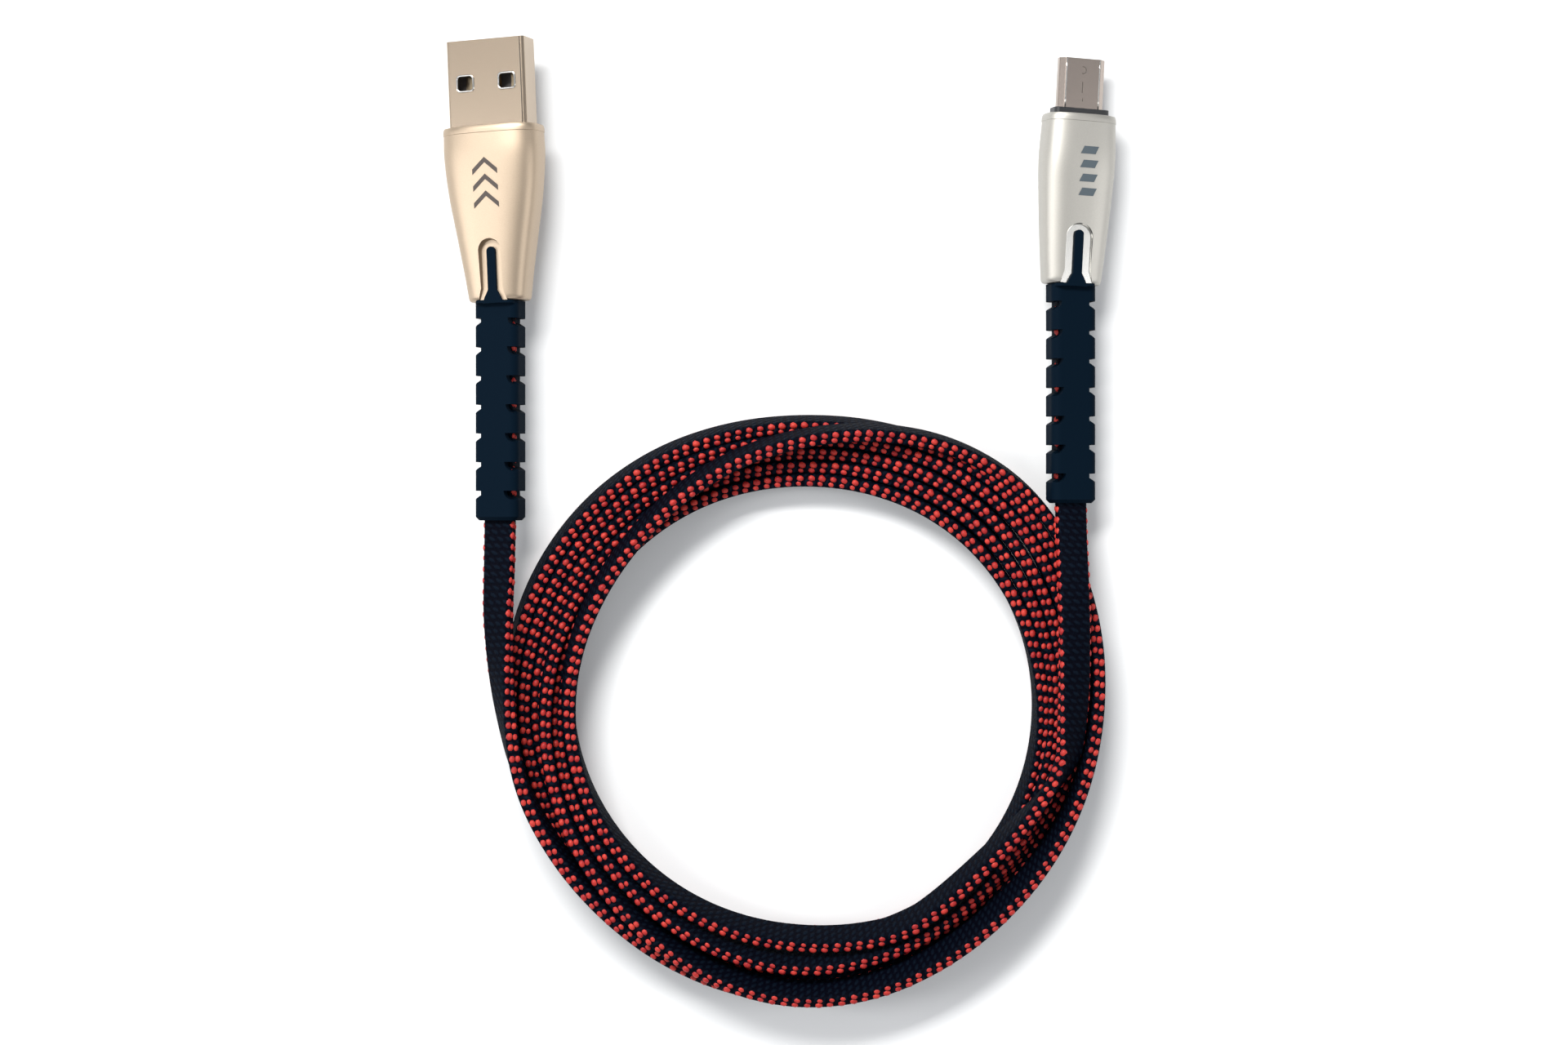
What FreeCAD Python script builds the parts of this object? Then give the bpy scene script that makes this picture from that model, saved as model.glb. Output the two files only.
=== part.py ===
import FreeCAD
import Part
import math
import os

# Braided flat charging cable: a USB-A plug, a micro-B plug and the cable between them, wound as a ring.
# Millimetres, +Z up. The cable lies on the plane Z = 0 with both plugs side by side, pointing along +Y.
# Each plug is drawn in its own frame: the axis is Y, Y = 0 is where the housing meets the strain relief,
# the tip points along +Y and the broad faces look along +Z and -Z. Each plug is then rolled, turned and placed.

# ---- cable -------------------------------------------------------------------------------------
CABLE_WIDTH = 4.6
CABLE_THICKNESS = 2.0
CABLE_EDGE_RADIUS = 0.7
CABLE_IN_HOUSING = 4.0          # how far the cable runs up inside each housing
WIRE_DIAMETER = 0.8
WIRE_PITCH = 1.0
WIRE_COUNT = 4

# ---- strain relief, the same moulding on both plugs ----------------------------------------------
RELIEF_LENGTH = 31.6
RELIEF_WIDTH = 6.6
RELIEF_THICKNESS = 4.6
RELIEF_RADIUS = 1.2
NOTCH_COUNT = 7
NOTCH_PITCH = 4.14
FIRST_NOTCH = 2.5               # from the housing to the first notch's flat edge
NOTCH_FLOOR = 0.65              # height of a notch at the cable
NOTCH_MOUTH = 1.3               # height of a notch at the outside
SCOOP_START = 1.3               # how far the first scoop reaches in from the side on the broad face
SCOOP_STEP = 0.1                # each scoop reaches this much further than the one before
SCOOP_DEPTH = 1.5
TONGUE_WIDTH = 1.3
TONGUE_HEIGHT = 7.7
TONGUE_TOP = 3.05               # outer surface of the tongue, from the axis
FLARE_HEIGHT = 1.5

# ---- housings: each section is (height above the strain relief, width, thickness) ----------------
USB_A_SECTIONS = (
    (0.9, 8.9, 6.3),
    (4.0, 9.8, 6.7),
    (9.2, 11.5, 7.3),
    (15.5, 13.6, 7.9),
    (21.0, 14.6, 8.3),
    (24.1, 14.5, 8.2),
)
USB_A_HOUSING_LENGTH = 25.1
USB_A_CORNER = 2.6              # corner radius of the first section; the rest grow with thickness
MICRO_SECTIONS = (
    (0.9, 8.6, 6.0),
    (6.1, 9.5, 6.4),
    (13.3, 10.5, 6.9),
    (18.1, 10.9, 7.2),
    (23.8, 10.4, 6.9),
)
MICRO_HOUSING_LENGTH = 24.4
MICRO_CORNER = 2.3
END_CHAMFER = 0.45
LIP_PROUD = 0.12
ARCH_FLOOR = 2.6                # the sunk arch's floor, from the axis
USB_A_ARCH = (3.6, 8.9)         # width and height of the arch
MICRO_ARCH = (4.2, 8.7)
HOLLOW_CORNER = 0.45
# Stepped hollow inside each housing: (from, to, width, thickness).
USB_A_HOLLOW = (
    (-0.1, 8.0, 6.2, 3.6),
    (8.0, 14.5, 8.6, 4.8),
    (14.5, 24.1, 12.1, 5.4),
    (24.1, 25.3, 12.04, 4.54),
)
MICRO_HOLLOW = (
    (-0.1, 8.0, 6.2, 3.6),
    (8.0, 23.4, 8.4, 4.2),
)

# ---- USB-A plug --------------------------------------------------------------------------------
USB_A_SHELL_WIDTH = 12.0
USB_A_SHELL_THICKNESS = 4.5
USB_A_WALL = 0.3
USB_A_SHELL_CORNER = 0.5
USB_A_REACH = 12.5              # shell in front of the housing
USB_A_SHELL_HIDDEN = 6.0        # shell inside the housing
WINDOW_WIDTH = 2.5
WINDOW_LENGTH = 2.25
WINDOW_SPACING = 6.4
WINDOW_FROM_TIP = 6.2
TONGUE_PLATE = 1.9              # thickness of the plastic tongue inside the shell
TONGUE_SET_BACK = 0.6
INSULATOR_DEPTH = 2.4           # solid block behind the mouth
USB_A_CONTACTS = ((-3.5, 7.4), (-1.0, 6.4), (1.0, 6.4), (3.5, 7.4))  # place and length of each contact
CONTACT_WIDTH = 1.0
CONTACT_THICKNESS = 0.2

# ---- micro-B plug ------------------------------------------------------------------------------
COLLAR_HEIGHT = 0.9
COLLAR_WIDTH = 8.2
COLLAR_THICKNESS = 3.4
MICRO_WIDE = 6.85               # wide side of the shell, facing down
MICRO_NARROW = 5.2              # narrow side, facing up
MICRO_THICKNESS = 1.85
MICRO_SHOULDER = 0.2            # height of the corner where the bevel starts, above the axis
MICRO_WALL = 0.25
MICRO_REACH = 7.3               # shell in front of the collar
MICRO_SHELL_HIDDEN = 5.0
PLATE_UNDERSIDE = 0.36
PLATE_WIDTH = 4.4
LATCH_OFFSET = 2.2
LATCH_WIDTH = 0.7
LATCH_THICKNESS = 0.28
LATCH_LENGTH = 4.6
LATCH_BOTTOM = -0.62
HOOK_LENGTH = 0.9
HOOK_PROUD = 0.32
SLOT_CLEARANCE = 0.15
SPRING_COUNT = 5
SPRING_PITCH = 0.65
SPRING_WIDTH = 0.32
SPRING_THICKNESS = 0.14
SPRING_LENGTH = 4.2
SPRING_BOTTOM = 0.06
ROOT_GAP = 0.06                 # between a sprung piece and the block that it is fixed in

# ---- places ------------------------------------------------------------------------------------
USB_A_JOIN = (-40.4, -3.1, 5.59)
USB_A_LEAN = 2.3
USB_A_ROLL = -17.0
MICRO_JOIN = (41.87, -0.6, 4.64)
MICRO_LEAN = -2.9
MICRO_ROLL = 13.0

# Control points of the two stretches of cable that aren't wound, from inside each housing to the ring.
USB_A_LEAD = (
    (-40.42, -19.0, 5.6),
    (-40.42, -34.9, 5.56),
    (-40.9, -45.5, 4.9),
    (-41.1, -53.5, 4.0),
)
MICRO_LEAD = (
    (41.88, -16.5, 4.64),
    (41.86, -32.4, 4.68),
    (41.0, -43.0, 6.2),
)
RUN_SHARE = 0.45                # part of the shorter run that each arc takes up

# The ring of turns: its centre, its inner and outer radius, and its height.
RING_CENTRE = (3.2, -61.8)
RING_INNER = 31.4
RING_OUTER = 44.0
RING_HEIGHT = 9.2
RING_CORNER = 2.0


def vec(x, y, z):
    return FreeCAD.Vector(x, y, z)


def rounded_outline(width, thickness, radius, y):
    """A rounded rectangle across the plug's axis, at height y."""
    half_width = width / 2 - radius
    half_thickness = thickness / 2 - radius
    centres = (
        (half_width, half_thickness, 0),
        (-half_width, half_thickness, 90),
        (-half_width, -half_thickness, 180),
        (half_width, -half_thickness, 270),
    )
    arcs = []
    for x, z, start in centres:
        on_arc = []
        for turn in (0, 45, 90):
            angle = math.radians(start + turn)
            on_arc.append(vec(x + radius * math.cos(angle), y, z + radius * math.sin(angle)))
        arcs.append(on_arc)
    edges = []
    for i, on_arc in enumerate(arcs):
        edges.append(Part.Arc(*on_arc).toShape())
        following = arcs[(i + 1) % len(arcs)][0]
        edges.append(Part.LineSegment(on_arc[2], following).toShape())
    return Part.Wire(edges)


def rounded_bar(width, thickness, radius, y_from, y_to):
    outline = rounded_outline(width, thickness, radius, y_from)
    return Part.Face(outline).extrude(vec(0, y_to - y_from, 0))


def block(x_from, x_to, y_from, y_to, z_from, z_to):
    corner = vec(x_from, y_from, z_from)
    return Part.makeBox(x_to - x_from, y_to - y_from, z_to - z_from, corner)


def flat_plate(points, z_from, z_to):
    """A plate whose outline is given in X and Y."""
    corners = [vec(x, y, z_from) for x, y in points]
    face = Part.Face(Part.makePolygon(corners + corners[:1]))
    return face.extrude(vec(0, 0, z_to - z_from))


def cylinder_between(start, end, diameter):
    along = end - start
    return Part.makeCylinder(diameter / 2, along.Length, start, along)


def fused(shapes):
    whole = shapes[0]
    for shape in shapes[1:]:
        whole = whole.fuse(shape)
    return whole.removeSplitter()


# ---- housings ----------------------------------------------------------------------------------
def housing_skin(sections, length, corner_radius):
    """The outer form: a smooth body, a chamfered lower end and a proud lip round the upper end."""
    first = sections[0]
    last = sections[-1]

    def corner(section):
        return corner_radius * section[2] / first[2]

    def outline(section, grow, y):
        return rounded_outline(section[1] + grow, section[2] + grow, corner(section) + grow / 2, y)

    body = Part.makeLoft([outline(s, 0, s[0]) for s in sections], True, False)
    lower_end = Part.makeLoft([outline(first, -2 * END_CHAMFER, 0), outline(first, 0, first[0])], True, True)
    lip_top = length - LIP_PROUD
    lip = Part.makeLoft([outline(last, LIP_PROUD, last[0]), outline(last, LIP_PROUD, lip_top)], True, True)
    rim = Part.makeLoft([outline(last, LIP_PROUD, lip_top), outline(last, -LIP_PROUD, length)], True, True)
    return fused([body, lower_end, lip, rim])


def arch_cutter(arch, side):
    """The sunk arch on one broad face, open at the housing's lower end."""
    width, height = arch
    z_from = ARCH_FLOOR if side > 0 else -10.0
    z_to = 10.0 if side > 0 else -ARCH_FLOOR
    straight = block(-width / 2, width / 2, -1.0, height - width / 2, z_from, z_to)
    crown = Part.makeCylinder(width / 2, z_to - z_from, vec(0, height - width / 2, z_from), vec(0, 0, 1))
    return straight.fuse(crown)


def housing(sections, length, corner_radius, hollow, arch):
    shell = housing_skin(sections, length, corner_radius)
    for side in (1, -1):
        shell = shell.cut(arch_cutter(arch, side))
    for y_from, y_to, width, thickness in hollow:
        shell = shell.cut(rounded_bar(width, thickness, HOLLOW_CORNER, y_from, y_to))
    return shell


# ---- strain relief -----------------------------------------------------------------------------
def notch_cutter(index, side):
    """One side notch: a flat upper edge, a sloped lower edge, open down to the cable's edge."""
    top = -(FIRST_NOTCH + index * NOTCH_PITCH)
    inner = CABLE_WIDTH / 2 - 0.2
    outer = RELIEF_WIDTH
    slope = NOTCH_MOUTH - NOTCH_FLOOR
    rise = (outer - inner) * slope / (RELIEF_WIDTH / 2 - inner)
    points = (
        (side * inner, top),
        (side * outer, top),
        (side * outer, top - NOTCH_FLOOR - rise),
        (side * inner, top - NOTCH_FLOOR),
    )
    return flat_plate(points, -RELIEF_THICKNESS, RELIEF_THICKNESS)


def scoop_cutter(index, side, face):
    """The curved pocket that carries a notch on over the broad face."""
    top = -(FIRST_NOTCH + index * NOTCH_PITCH)
    reach = SCOOP_START + index * SCOOP_STEP
    radius = NOTCH_MOUTH
    tip = RELIEF_WIDTH / 2 - reach + radius
    base = face * (RELIEF_THICKNESS / 2 - SCOOP_DEPTH)
    round_end = Part.makeCylinder(radius, RELIEF_THICKNESS, vec(side * tip, top, base), vec(0, 0, face))
    below = block(-RELIEF_WIDTH, RELIEF_WIDTH, top - 2 * radius, top, -RELIEF_THICKNESS, RELIEF_THICKNESS)
    return round_end.common(below)


def relief_body(mirror):
    """The ribbed sleeve; the scoops are on one side of the upper face and on the other of the lower."""
    body = rounded_bar(RELIEF_WIDTH, RELIEF_THICKNESS, RELIEF_RADIUS, -RELIEF_LENGTH, 0)
    lower_edges = []
    for edge in body.Edges:
        if edge.BoundBox.YMax < -RELIEF_LENGTH + 0.01:
            lower_edges.append(edge)
    body = body.makeChamfer(0.5, lower_edges)
    bore = rounded_bar(CABLE_WIDTH, CABLE_THICKNESS, CABLE_EDGE_RADIUS, -RELIEF_LENGTH - 1, 1)
    body = body.cut(bore)
    for index in range(NOTCH_COUNT):
        for side in (-1, 1):
            body = body.cut(notch_cutter(index, side))
        for face in (-1, 1):
            body = body.cut(scoop_cutter(index, mirror * face, face))
    return body


def relief_root():
    """What holds the sleeve in the housing: a short root and a tongue up each sunk arch."""
    pieces = []
    for face in (-1, 1):
        z_from = ARCH_FLOOR if face > 0 else -TONGUE_TOP
        z_to = TONGUE_TOP if face > 0 else -ARCH_FLOOR
        half = TONGUE_WIDTH / 2
        flare = (
            (-half - 0.9, -0.4),
            (half + 0.9, -0.4),
            (half + 0.55, 0.5),
            (half, FLARE_HEIGHT),
            (-half, FLARE_HEIGHT),
            (-half - 0.55, 0.5),
        )
        pieces.append(flat_plate(flare, z_from, z_to))
        pieces.append(block(-half, half, 0, TONGUE_HEIGHT - half, z_from, z_to))
        tip = vec(0, TONGUE_HEIGHT - half, z_from)
        pieces.append(Part.makeCylinder(half, z_to - z_from, tip, vec(0, 0, 1)))
    collar = rounded_bar(RELIEF_WIDTH - 0.6, 2 * TONGUE_TOP, RELIEF_RADIUS, -0.4, 0)
    bore = rounded_bar(CABLE_WIDTH, CABLE_THICKNESS, CABLE_EDGE_RADIUS, -1, 1)
    return pieces, collar.cut(bore)


# ---- pieces inside both housings ---------------------------------------------------------------
def crimp():
    """Folded ferrule that grips the cable's end."""
    outer = rounded_bar(CABLE_WIDTH + 0.8, CABLE_THICKNESS + 0.8, 0.9, 1.5, 5.5)
    return outer.cut(rounded_bar(CABLE_WIDTH, CABLE_THICKNESS, CABLE_EDGE_RADIUS, 1.4, 5.6))


def wires(ends, y_end, z_end):
    """One insulated conductor to each terminal in `ends`."""
    made = []
    for i, x_end in enumerate(ends):
        x_start = (i - (WIRE_COUNT - 1) / 2) * WIRE_PITCH
        start = vec(x_start, CABLE_IN_HOUSING, 0)
        made.append(cylinder_between(start, vec(x_end, y_end, z_end), WIRE_DIAMETER))
    return made


def inner_mould(steps, inside):
    """Plastic moulded round the wires, as stepped as the hollow, less what it holds."""
    mould = fused([rounded_bar(width, thickness, HOLLOW_CORNER, y_from, y_to)
                   for y_from, y_to, width, thickness in steps])
    for piece in inside:
        mould = mould.cut(piece)
    return mould


# ---- USB-A pieces ------------------------------------------------------------------------------
def usb_a_shell():
    tip = USB_A_HOUSING_LENGTH + USB_A_REACH
    rear = USB_A_HOUSING_LENGTH - USB_A_SHELL_HIDDEN
    inner_width = USB_A_SHELL_WIDTH - 2 * USB_A_WALL
    inner_thickness = USB_A_SHELL_THICKNESS - 2 * USB_A_WALL
    tube = rounded_bar(USB_A_SHELL_WIDTH, USB_A_SHELL_THICKNESS, USB_A_SHELL_CORNER, rear, tip)
    tube = tube.cut(rounded_bar(inner_width, inner_thickness, 0.2, rear - 1, tip + 1))
    for side in (-1, 1):
        x = side * WINDOW_SPACING / 2
        middle = tip - WINDOW_FROM_TIP
        half = WINDOW_WIDTH / 2
        low = middle - WINDOW_LENGTH / 2
        tube = tube.cut(block(x - half, x + half, low, low + WINDOW_LENGTH, -5, 5))
    return tube


def usb_a_insulator():
    """Block across the shell's rear with the tongue that carries the contacts."""
    inner_width = USB_A_SHELL_WIDTH - 2 * USB_A_WALL
    inner_thickness = USB_A_SHELL_THICKNESS - 2 * USB_A_WALL
    mouth = USB_A_HOUSING_LENGTH
    floor = -inner_thickness / 2
    half = inner_width / 2
    base = rounded_bar(inner_width, inner_thickness, 0.2, mouth - USB_A_SHELL_HIDDEN, mouth + INSULATOR_DEPTH)
    tip = mouth + USB_A_REACH - TONGUE_SET_BACK
    tongue = block(-half + 0.2, half - 0.2, mouth, tip, floor, floor + TONGUE_PLATE)
    body = base.fuse(tongue).removeSplitter()
    for contact in usb_a_contacts():
        body = body.cut(contact)
    return body


def usb_a_contacts():
    """Four flat contacts let into the tongue, each with a tail behind the block."""
    inner_thickness = USB_A_SHELL_THICKNESS - 2 * USB_A_WALL
    top = -inner_thickness / 2 + TONGUE_PLATE
    tip = USB_A_HOUSING_LENGTH + USB_A_REACH - 1.5
    tail = USB_A_HOUSING_LENGTH - USB_A_SHELL_HIDDEN - 1.6
    made = []
    for x, length in USB_A_CONTACTS:
        half = CONTACT_WIDTH / 2
        blade = block(x - half, x + half, tip - length, tip, top - CONTACT_THICKNESS, top)
        stem = block(x - 0.4, x + 0.4, tail, tip - length, top - CONTACT_THICKNESS, top)
        made.append(blade.fuse(stem).removeSplitter())
    return made


# ---- micro-B pieces ----------------------------------------------------------------------------
def micro_outline(inset, y):
    """Six-sided outline: wide side down, narrow side up, bevels between."""
    half_wide = MICRO_WIDE / 2 - inset
    half_narrow = MICRO_NARROW / 2 - inset * 0.6
    half_thick = MICRO_THICKNESS / 2 - inset
    points = (
        (half_wide, -half_thick),
        (half_wide, MICRO_SHOULDER),
        (half_narrow, half_thick),
        (-half_narrow, half_thick),
        (-half_wide, MICRO_SHOULDER),
        (-half_wide, -half_thick),
    )
    corners = [vec(x, y, z) for x, z in points]
    return Part.makePolygon(corners + corners[:1])


def micro_prism(inset, y_from, y_to):
    return Part.Face(micro_outline(inset, y_from)).extrude(vec(0, y_to - y_from, 0))


MICRO_MOUTH = MICRO_HOUSING_LENGTH + COLLAR_HEIGHT
MICRO_TIP = MICRO_MOUTH + MICRO_REACH
MICRO_REAR = MICRO_MOUTH - MICRO_SHELL_HIDDEN
LATCH_ROOT = MICRO_MOUTH + 0.6  # front of the block that the sprung pieces are fixed in


def rounded_along(shape, radius):
    """The shape with its long edges rounded."""
    long_edges = []
    for edge in shape.Edges:
        direction = edge.Vertexes[1].Point - edge.Vertexes[0].Point
        if abs(direction.y) > 0.99 * direction.Length:
            long_edges.append(edge)
    return shape.makeFillet(radius, long_edges)


def hook_span():
    """Where each latch hook stands along the plug."""
    tip = LATCH_ROOT + ROOT_GAP + LATCH_LENGTH
    return tip - HOOK_LENGTH, tip


def micro_shell():
    tube = rounded_along(micro_prism(0, MICRO_REAR, MICRO_TIP), 0.3)
    tube = tube.cut(micro_prism(MICRO_WALL, MICRO_REAR - 1, MICRO_TIP + 1))
    low, high = hook_span()
    for side in (-1, 1):
        x = side * LATCH_OFFSET
        half = LATCH_WIDTH / 2 + SLOT_CLEARANCE
        slot = block(x - half, x + half, low - SLOT_CLEARANCE, high + SLOT_CLEARANCE, -2, -0.4)
        tube = tube.cut(slot)
    return tube


def micro_insulator():
    """Block inside the shell's rear, with the plate that backs the contacts."""
    base = micro_prism(MICRO_WALL, MICRO_REAR, LATCH_ROOT)
    plate_tip = LATCH_ROOT + SPRING_LENGTH + 0.5
    top = MICRO_THICKNESS / 2 - MICRO_WALL
    plate = block(-PLATE_WIDTH / 2, PLATE_WIDTH / 2, LATCH_ROOT, plate_tip, PLATE_UNDERSIDE, top)
    return base.fuse(plate).removeSplitter()


def latch(side):
    """A sprung arm with a hook that stands out through the shell's slot."""
    x = side * LATCH_OFFSET
    half = LATCH_WIDTH / 2
    root = LATCH_ROOT + ROOT_GAP
    low, high = hook_span()
    arm = block(x - half, x + half, root, high, LATCH_BOTTOM, LATCH_BOTTOM + LATCH_THICKNESS)
    proud = -MICRO_THICKNESS / 2 - HOOK_PROUD
    profile = (
        vec(x - half, low, LATCH_BOTTOM),
        vec(x - half, low, proud),
        vec(x - half, low + 0.3, proud),
        vec(x - half, high, LATCH_BOTTOM),
    )
    hook = Part.Face(Part.makePolygon(profile + profile[:1])).extrude(vec(LATCH_WIDTH, 0, 0))
    return arm.fuse(hook).removeSplitter()


def spring_contacts():
    """Five sprung contacts under the plate."""
    made = []
    root = LATCH_ROOT + ROOT_GAP
    for i in range(SPRING_COUNT):
        x = (i - (SPRING_COUNT - 1) / 2) * SPRING_PITCH
        half = SPRING_WIDTH / 2
        made.append(block(x - half, x + half, root, root + SPRING_LENGTH, SPRING_BOTTOM,
                          SPRING_BOTTOM + SPRING_THICKNESS))
    return made


def base_collar():
    """Thin black plastic collar between the housing and the shell."""
    outer = rounded_bar(COLLAR_WIDTH, COLLAR_THICKNESS, 0.8, MICRO_HOUSING_LENGTH, MICRO_MOUTH)
    return outer.cut(micro_prism(0, MICRO_HOUSING_LENGTH - 1, MICRO_MOUTH + 1))


# ---- cable outside the plugs -------------------------------------------------------------------
def route_path(points):
    """Straight runs joined by tangent arcs; prints each arc's radius."""
    corners = [vec(*p) for p in points]
    edges = []
    at = corners[0]
    for before, corner, after in zip(corners, corners[1:], corners[2:]):
        inward = corner - before
        outward = after - corner
        shorter = min(inward.Length, outward.Length)
        setback = RUN_SHARE * shorter
        turn = inward.getAngle(outward)
        radius = setback / math.tan(turn / 2)
        unit_in = inward.normalize()
        unit_out = outward.normalize()
        arc_start = corner - unit_in * setback
        arc_end = corner + unit_out * setback
        to_centre = (unit_out - unit_in).normalize()
        middle = corner + to_centre * (radius / math.cos(turn / 2) - radius)
        edges.append(Part.LineSegment(at, arc_start).toShape())
        edges.append(Part.Arc(arc_start, middle, arc_end).toShape())
        print("arc radius %.0f mm, turn %.2f degrees" % (radius, math.degrees(turn)))
        at = arc_end
    edges.append(Part.LineSegment(at, corners[-1]).toShape())
    return Part.Wire(edges)


def flat_cable(points, roll):
    """The cable's flat section swept along its route."""
    path = route_path(points)
    start = vec(*points[0])
    direction = vec(*points[1]) - start
    section = rounded_outline(CABLE_WIDTH, CABLE_THICKNESS, CABLE_EDGE_RADIUS, 0)
    # The route sets out against the plug's Y, so only a slight tilt carries the rolled section onto it.
    turn = FreeCAD.Rotation(vec(0, -1, 0), direction).multiply(FreeCAD.Rotation(vec(0, 1, 0), roll))
    section.Placement = FreeCAD.Placement(start, turn)
    tube = path.makePipeShell([section], True, False)
    area = Part.Face(section).Area
    print("cable volume over section times length: %.4f" % (tube.Volume / (area * path.Length)))
    return tube


def ring_of_turns():
    """Outer form of the wound cable, as one closed ring."""
    middle = (RING_INNER + RING_OUTER) / 2
    outline = rounded_outline(RING_OUTER - RING_INNER, RING_HEIGHT, RING_CORNER, 0)
    outline.translate(vec(RING_CENTRE[0] + middle, RING_CENTRE[1], RING_HEIGHT / 2))
    axis_point = vec(RING_CENTRE[0], RING_CENTRE[1], 0)
    return Part.Face(outline).revolve(axis_point, vec(0, 0, 1), 360)


# ---- assembly ----------------------------------------------------------------------------------
def frame_of(join, lean, roll):
    """Placement that rolls a plug on its axis, leans it about Z and puts its join in place."""
    turn = FreeCAD.Rotation(vec(0, 0, 1), lean).multiply(FreeCAD.Rotation(vec(0, 1, 0), roll))
    return FreeCAD.Placement(vec(*join), turn)


def placed(shape, frame):
    moved = shape.copy()
    moved.Placement = frame.multiply(moved.Placement)
    return moved


def placed_group(shapes, frame):
    return Part.makeCompound([placed(shape, frame) for shape in shapes])


def strain_relief(frame, straight_frame, mirror):
    """The sleeve hangs straight; its root and tongues follow the plug."""
    pieces, collar = relief_root()
    solids = [placed(relief_body(mirror), straight_frame), placed(collar, straight_frame)]
    for piece in pieces:
        solids.append(placed(piece, frame))
    return fused(solids)


def usb_a_plug(frame, straight_frame):
    rear = USB_A_HOUSING_LENGTH - USB_A_SHELL_HIDDEN
    contacts = usb_a_contacts()
    contact_top = -(USB_A_SHELL_THICKNESS - 2 * USB_A_WALL) / 2 + TONGUE_PLATE
    conductors = wires([x for x, _ in USB_A_CONTACTS], rear - 0.6, contact_top + WIRE_DIAMETER / 2)
    steps = ((6.0, 8.0, 6.0, 3.4), (8.0, 14.5, 8.4, 4.6), (14.5, rear, 11.9, 5.2))
    mould = inner_mould(steps, conductors + contacts)
    cover = housing(USB_A_SECTIONS, USB_A_HOUSING_LENGTH, USB_A_CORNER, USB_A_HOLLOW, USB_A_ARCH)
    return {
        "usb_a_shell": placed(usb_a_shell(), frame),
        "usb_a_insulator": placed(usb_a_insulator(), frame),
        "usb_a_contacts": placed_group(contacts, frame),
        "usb_a_inner_mould": placed(mould, frame),
        "usb_a_wires": placed_group(conductors, frame),
        "usb_a_crimp": placed(crimp(), frame),
        "usb_a_housing": placed(cover, frame),
        "usb_a_strain_relief": strain_relief(frame, straight_frame, 1),
    }


def micro_plug(frame, straight_frame):
    conductors = wires((-1.8, -0.6, 0.6, 1.8), MICRO_REAR - 0.1, 0)
    steps = ((6.0, 8.0, 6.0, 3.4), (8.0, MICRO_REAR, 8.2, 4.0))
    mould = inner_mould(steps, conductors)
    cover = housing(MICRO_SECTIONS, MICRO_HOUSING_LENGTH, MICRO_CORNER, MICRO_HOLLOW, MICRO_ARCH)
    cover = cover.cut(micro_prism(0, MICRO_REAR, MICRO_TIP))
    return {
        "micro_shell": placed(micro_shell(), frame),
        "micro_insulator": placed(micro_insulator(), frame),
        "micro_spring_contacts": placed_group(spring_contacts(), frame),
        "micro_latch_left": placed(latch(-1), frame),
        "micro_latch_right": placed(latch(1), frame),
        "micro_base_collar": placed(base_collar(), frame),
        "micro_inner_mould": placed(mould, frame),
        "micro_wires": placed_group(conductors, frame),
        "micro_crimp": placed(crimp(), frame),
        "micro_housing": placed(cover, frame),
        "micro_strain_relief": strain_relief(frame, straight_frame, -1),
    }


def cable_start(frame):
    """Where the cable's end lies inside a housing."""
    point = frame.multVec(vec(0, CABLE_IN_HOUSING, 0))
    return (point.x, point.y, point.z)


def all_parts():
    usb_a_frame = frame_of(USB_A_JOIN, USB_A_LEAN, USB_A_ROLL)
    usb_a_straight = frame_of(USB_A_JOIN, 0, USB_A_ROLL)
    micro_frame = frame_of(MICRO_JOIN, MICRO_LEAN, MICRO_ROLL)
    micro_straight = frame_of(MICRO_JOIN, 0, MICRO_ROLL)
    parts = {}
    parts.update(usb_a_plug(usb_a_frame, usb_a_straight))
    parts.update(micro_plug(micro_frame, micro_straight))
    parts["lead_usb_a"] = flat_cable((cable_start(usb_a_straight),) + USB_A_LEAD, USB_A_ROLL)
    parts["lead_micro"] = flat_cable((cable_start(micro_straight),) + MICRO_LEAD, MICRO_ROLL)
    parts["cord_coil"] = ring_of_turns()
    return parts


def main():
    os.makedirs("parts", exist_ok=True)
    for name, shape in all_parts().items():
        box = shape.BoundBox
        print("%-24s %d solid(s), valid %s, volume %8.2f, X %.2f..%.2f Y %.2f..%.2f Z %.2f..%.2f" % (
            name, len(shape.Solids), shape.isValid(), shape.Volume,
            box.XMin, box.XMax, box.YMin, box.YMax, box.ZMin, box.ZMax))
        shape.exportStep("parts/%s.step" % name)


main()
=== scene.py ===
"""Looks of a flat braided charging cable: two metal-cased plugs on a coiled, flat woven band."""

import math
import random

import bmesh
import bpy
from mathutils import Matrix, Vector


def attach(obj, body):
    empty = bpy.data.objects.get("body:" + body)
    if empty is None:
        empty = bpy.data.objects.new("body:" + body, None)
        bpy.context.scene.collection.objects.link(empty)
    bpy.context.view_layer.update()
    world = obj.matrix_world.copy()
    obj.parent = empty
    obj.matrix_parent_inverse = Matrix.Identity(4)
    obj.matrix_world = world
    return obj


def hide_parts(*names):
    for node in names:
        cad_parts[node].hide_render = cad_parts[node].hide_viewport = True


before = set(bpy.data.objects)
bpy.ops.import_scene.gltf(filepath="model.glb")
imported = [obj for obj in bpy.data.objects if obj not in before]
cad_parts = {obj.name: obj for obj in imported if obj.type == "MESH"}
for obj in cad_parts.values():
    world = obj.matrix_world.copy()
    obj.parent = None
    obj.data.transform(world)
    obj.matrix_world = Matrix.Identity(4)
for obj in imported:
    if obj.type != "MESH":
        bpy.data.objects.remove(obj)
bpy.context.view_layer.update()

MM = 0.001
random.seed(11)

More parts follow.
